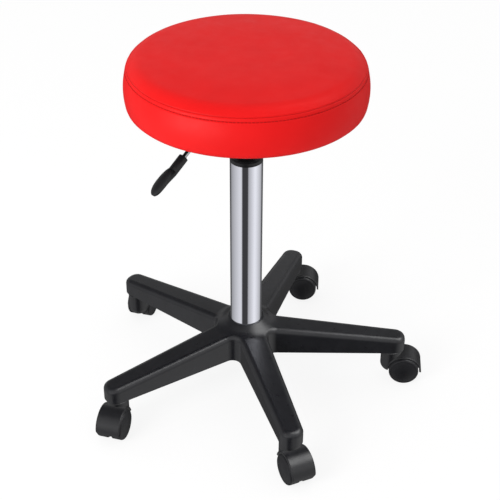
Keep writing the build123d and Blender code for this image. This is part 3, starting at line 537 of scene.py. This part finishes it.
def periodic(grid, segments):
    """The grid at another number of segments, evenly spaced."""
    old = grid.shape[1]
    place = np.arange(segments) * old / segments
    low = np.floor(place).astype(int) % old
    share = (place - np.floor(place))[None, :, None]
    before, here = grid[:, (low - 1) % old], grid[:, low]
    after, beyond = grid[:, (low + 1) % old], grid[:, (low + 2) % old]
    return smooth_between(before, here, after, beyond, share)


def along_rings(grid, places):
    """The grid at other places along its rings, on smooth curves."""
    count = grid.shape[0]
    low = np.clip(np.floor(places).astype(int), 0, count - 2)
    share = (places - low)[:, None, None]
    before, here = grid[np.maximum(low - 1, 0)], grid[low]
    after, beyond = grid[low + 1], grid[np.minimum(low + 2, count - 1)]
    return smooth_between(before, here, after, beyond, share)


# Rings close together about the seam, further apart elsewhere
radius_steps, height_steps = np.diff(np.array(profile), axis=0).T
lengths = np.concatenate([[0.0], np.cumsum(np.hypot(radius_steps, height_steps))])
seam_at = lengths[at_seam]
above = np.arange(0.0, seam_at - ABOVE_GAP, ABOVE_STEP)
near = np.arange(NEAR_START, NEAR_END, NEAR_STEP)
below = np.arange(seam_at + BELOW_GAP, lengths[-1], BELOW_STEP)
wanted = np.concatenate([above, seam_at + near, below, [lengths[-1]]])
ring_place = np.interp(wanted, lengths, np.arange(len(lengths)))
fine = periodic(along_rings(cover, ring_place), SEGMENTS)
outward = grid_normals(fine)
past_seam = (wanted - seam_at)[:, None]
turn = np.arange(SEGMENTS)[None, :]
angle = turn * 2 * math.pi / SEGMENTS


def waves(lowest, highest, count):
    """A slow, uneven ripple round the seat."""
    total = np.zeros((1, SEGMENTS))
    for n in rng.integers(lowest, highest, count):
        total = total + rng.uniform(WEAKEST_WAVE, 1.0) * np.cos(n * angle + rng.uniform(0, 2 * math.pi))
    return total / count


def ridge(height, drop, width):
    """A rounded ridge, or a groove where height is below zero, all along the seam."""
    return height * np.exp(-((past_seam - drop) / width) ** 2)


# Relief of the skin; hole is 1 at a needle hole and 0 half way along a stitch
hole = 0.5 + 0.5 * np.cos(math.pi * turn)
lift = ridge(*SEAM_GROOVE) + ridge(*PUFF_BELOW) + ridge(*PUFF_ABOVE) + ridge(*PUFF_UNDER_STITCHES)
lift = lift - ridge(1.0, STITCH_DROP, STITCH_WIDTH) * (STITCH_GROOVE + STITCH_PULL * (1 - hole))
lift = lift + PUCKER * waves(*PUCKER_WAVES) * np.exp(-np.abs(past_seam - PUCKER_DROP) / PUCKER_REACH)
lift = lift + ridge(*SIDE_RIPPLE) * waves(*SIDE_WAVES)
lift = lift + ridge(*TOP_RIPPLE) * waves(*TOP_WAVES)
fade = np.clip((lengths[-1] - wanted) / RELIEF_FADE, 0.0, 1.0)[:, None]
skin = (fine + outward * (lift * fade)[:, :, None])[1:]

# Closed form: the skin, then the hollow for the board
hollow_top = BOARD_TOP_Z + T_NUT_HEIGHT
hollow_bottom = BOARD_BOTTOM_Z - HOLLOW_GAP
inner = [(FOLD_RADIUS, hollow_bottom), (BOARD_RADIUS, hollow_bottom),
         (BOARD_RADIUS, hollow_top), (BOARD_RADIUS / 2, hollow_top)]
body = np.concatenate([skin, ring_grid(inner, SEGMENTS)])
verts = body.reshape(-1, 3).tolist()
top_middle = len(verts)
verts.append([0.0, 0.0, float(skin[0, :, 2].mean())])
low_middle = len(verts)
verts.append([0.0, 0.0, hollow_top])
faces = grid_faces(len(body), SEGMENTS)
last = (len(body) - 1) * SEGMENTS
faces += [(top_middle, j, (j + 1) % SEGMENTS) for j in range(SEGMENTS)]
faces += [(low_middle, last + (j + 1) % SEGMENTS, last + j) for j in range(SEGMENTS)]
cushion = link("seat_cushion", verts, faces)
skin_faces = (len(skin) - 1) * SEGMENTS
for face in cushion.data.polygons:
    face.use_smooth = face.index < skin_faces or face.index >= last
cushion.data.materials.append(vinyl)
# Painted shade along the seam groove and under the stitches between needle holes, kept on the cushion for the
# vinyl to darken
shade = (ridge(*SEAM_SHADE) + ridge(*STITCH_SHADE) * (1 - hole))[1:]
shade = np.concatenate([shade.ravel(), np.zeros(len(cushion.data.vertices) - shade.size)])
painted_crease_shade = cushion.data.attributes.new("painted_crease_shade", "FLOAT", "POINT")
painted_crease_shade.data.foreach_set("value", shade.astype(np.float32))
cushion.visible_glossy = False
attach(cushion, "seat")
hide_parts("seat_top_panel", "seat_side_band", "foam_pad")


# Stitches of the line below the seam, each from one needle hole to the next
def stitch_points(start, end, out):
    """Rings of points about one stitch, thickest half way, its ends sunk in the holes."""
    run = (end - start) / np.linalg.norm(end - start)
    side = np.cross(out, run)
    points = []
    for s in range(STITCH_STATIONS):
        t = STITCH_INSET + (1 - 2 * STITCH_INSET) * s / (STITCH_STATIONS - 1)
        arch = 4 * t * (1 - t)
        spine = start + (end - start) * t + out * (STITCH_RISE * arch - STITCH_SUNK)
        girth = THREAD_RADIUS * (THREAD_END + (1 - THREAD_END) * arch)
        for k in range(STITCH_SIDES):
            w = 2 * math.pi * k / STITCH_SIDES
            around = math.cos(w) * side * THREAD_WIDE + math.sin(w) * out
            points.append((spine + girth * around).tolist())
    return points


stitch_ring = int(np.argmin(np.abs(wanted[1:] - seam_at - STITCH_DROP)))
stitch_line = skin[stitch_ring]
stitch_outward = outward[1:][stitch_ring]
verts, faces = [], []
for n in range(STITCH_COUNT):
    first = len(verts)
    last = first + (STITCH_STATIONS - 1) * STITCH_SIDES
    start, end = stitch_line[2 * n], stitch_line[(2 * n + 2) % SEGMENTS]
    verts += stitch_points(start, end, stitch_outward[2 * n + 1])
    faces += grid_faces(STITCH_STATIONS, STITCH_SIDES, first)
    faces.append(tuple(first + k for k in range(STITCH_SIDES)))
    faces.append(tuple(last + k for k in reversed(range(STITCH_SIDES))))
stitching = link("seat_topstitch", verts, faces)
stitching.data.polygons.foreach_set("use_smooth", [True] * len(faces))
stitching.data.materials.append(thread)
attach(stitching, "seat")


def seen_directly(tree, path):
    """1 for rays from the camera and rays through something clear."""
    return joined(tree, "MAXIMUM", path.outputs["Is Camera Ray"], path.outputs["Is Transmission Ray"])


# Floor: pale, white to the camera but for the soft shadow, open to reflections of the studio
corners = [(x * FLOOR_REACH, y * FLOOR_REACH, 0.0) for x, y in ((-1, -1), (1, -1), (1, 1), (-1, 1))]
floor = link("floor", corners, [(0, 1, 2, 3)])
floor_material = bpy.data.materials.new("studio_floor")
floor_material.use_nodes = True
tree = floor_material.node_tree
tree.nodes.clear()
out = add(tree, "ShaderNodeOutputMaterial")
lit = add(tree, "ShaderNodeBsdfDiffuse")
lit.inputs["Color"].default_value = (FLOOR_GREY, FLOOR_GREY, FLOOR_GREY, 1.0)
white = add(tree, "ShaderNodeEmission")
white.inputs["Strength"].default_value = FLOOR_WHITE
clear = add(tree, "ShaderNodeBsdfTransparent")
path = add(tree, "ShaderNodeLightPath")
whitened = times(tree, seen_directly(tree, path), FLOOR_WHITE_SHARE)
seen = mixed_shader(tree, whitened, lit.outputs[0], white.outputs[0])
open_floor = mixed_shader(tree, path.outputs["Is Glossy Ray"], seen, clear.outputs[0])
tree.links.new(open_floor, out.inputs["Surface"])
floor.data.materials.append(floor_material)


# World: even white light, and a studio of pale panels and dark gaps for reflections
world = bpy.data.worlds.new("studio")
scene.world = world
world.use_nodes = True
tree = world.node_tree
tree.nodes.clear()
out = add(tree, "ShaderNodeOutputWorld")
path = add(tree, "ShaderNodeLightPath")
way = add(tree, "ShaderNodeTexCoord").outputs["Generated"]
split = add(tree, "ShaderNodeSeparateXYZ")
tree.links.new(way, split.inputs["Vector"])
heading = joined(tree, "ARCTAN2", split.outputs["X"], times(tree, split.outputs["Y"], -1.0))
panel_stops = [((degrees + 180.0) / 360.0, level) for degrees, level in PANELS]
sky = add(tree, "ShaderNodeMix", data_type="RGBA")
tree.links.new(ranged(tree, split.outputs["Z"], HAZE_START, HAZE_FULL), sky.inputs["Factor"])
tree.links.new(greys(tree, ranged(tree, heading, -math.pi, math.pi), panel_stops), sky.inputs[MIX_FIRST])
tree.links.new(greys(tree, split.outputs["Z"], HAZE), sky.inputs[MIX_SECOND])
seen = sky.outputs[MIX_RESULT]
for toward, edge, full, level in SOFTBOXES:
    facing = add(tree, "ShaderNodeVectorMath", operation="DOT_PRODUCT")
    tree.links.new(way, facing.inputs[0])
    facing.inputs[1].default_value = toward
    lobe = ranged(tree, facing.outputs["Value"], edge, full, high=level, interpolation_type="SMOOTHSTEP")
    seen = joined(tree, "ADD", seen, lobe)
studio = add(tree, "ShaderNodeBackground")
tree.links.new(seen, studio.inputs["Color"])
room = add(tree, "ShaderNodeBackground")
room.inputs["Color"].default_value = (1.0, 1.0, 1.0, 1.0)
room.inputs["Strength"].default_value = ROOM_LIGHT
backdrop = add(tree, "ShaderNodeBackground")
backdrop.inputs["Color"].default_value = (1.0, 1.0, 1.0, 1.0)
around = mixed_shader(tree, path.outputs["Is Glossy Ray"], room.outputs[0], studio.outputs[0])
final = mixed_shader(tree, seen_directly(tree, path), around, backdrop.outputs[0])
tree.links.new(final, out.inputs["Surface"])


# Lamps: a large soft key from the front left, a weak one from above and behind, a low card at the front left
def soft_lamp(name, place, aim, size, power):
    data = bpy.data.lights.new(name, "AREA")
    data.shape = "RECTANGLE"
    data.size, data.size_y = size
    data.energy = power
    made = bpy.data.objects.new(name, data)
    scene.collection.objects.link(made)
    made.location = place
    made.rotation_euler = (Vector(aim) - Vector(place)).to_track_quat("-Z", "Y").to_euler()
    made.visible_glossy = False
    return made


soft_lamp("key", place=(-1.66, -1.75, 1.45), aim=(0.0, 0.0, 0.45), size=(1.2, 1.2), power=38.0)
soft_lamp("top", place=(0.3, 0.6, 2.4), aim=(0.0, 0.0, 0.4), size=(1.6, 1.6), power=2.5)
card = soft_lamp("left_card", place=(-1.50, -1.60, 0.29), aim=(0.0, 0.0, 0.29), size=(1.7, 0.54), power=25.0)

# The card gives the cushion its sheen and lights nothing else
card.visible_glossy = True
card.visible_diffuse = False
card_receivers = bpy.data.collections.new("card_receivers")
card_receivers.objects.link(cushion)
card_receivers.objects.link(stitching)
card.light_linking.receiver_collection = card_receivers


# Camera
level_ahead = Vector((-math.sin(AZIMUTH), math.cos(AZIMUTH), 0.0))
ahead = math.cos(ELEVATION) * level_ahead - math.sin(ELEVATION) * Vector((0.0, 0.0, 1.0))
right = Vector((math.cos(AZIMUTH), math.sin(AZIMUTH), 0.0))
upward = right.cross(ahead)
across = math.cos(ROLL) * right + math.sin(ROLL) * upward
upright = math.cos(ROLL) * upward - math.sin(ROLL) * right
stand = Vector((0.0, 0.0, AIM_HEIGHT)) + AIM_RIGHT * right - DISTANCE * ahead
lens = bpy.data.cameras.new("camera")
lens.sensor_fit = "HORIZONTAL"
lens.sensor_width = SENSOR_MM
lens.lens = FOCAL_PX / IMAGE_PX * SENSOR_MM
camera = bpy.data.objects.new("camera", lens)
scene.collection.objects.link(camera)
camera.matrix_world = Matrix((
    (across.x, upright.x, -ahead.x, stand.x),
    (across.y, upright.y, -ahead.y, stand.y),
    (across.z, upright.z, -ahead.z, stand.z),
    (0.0, 0.0, 0.0, 1.0)))
scene.camera = camera
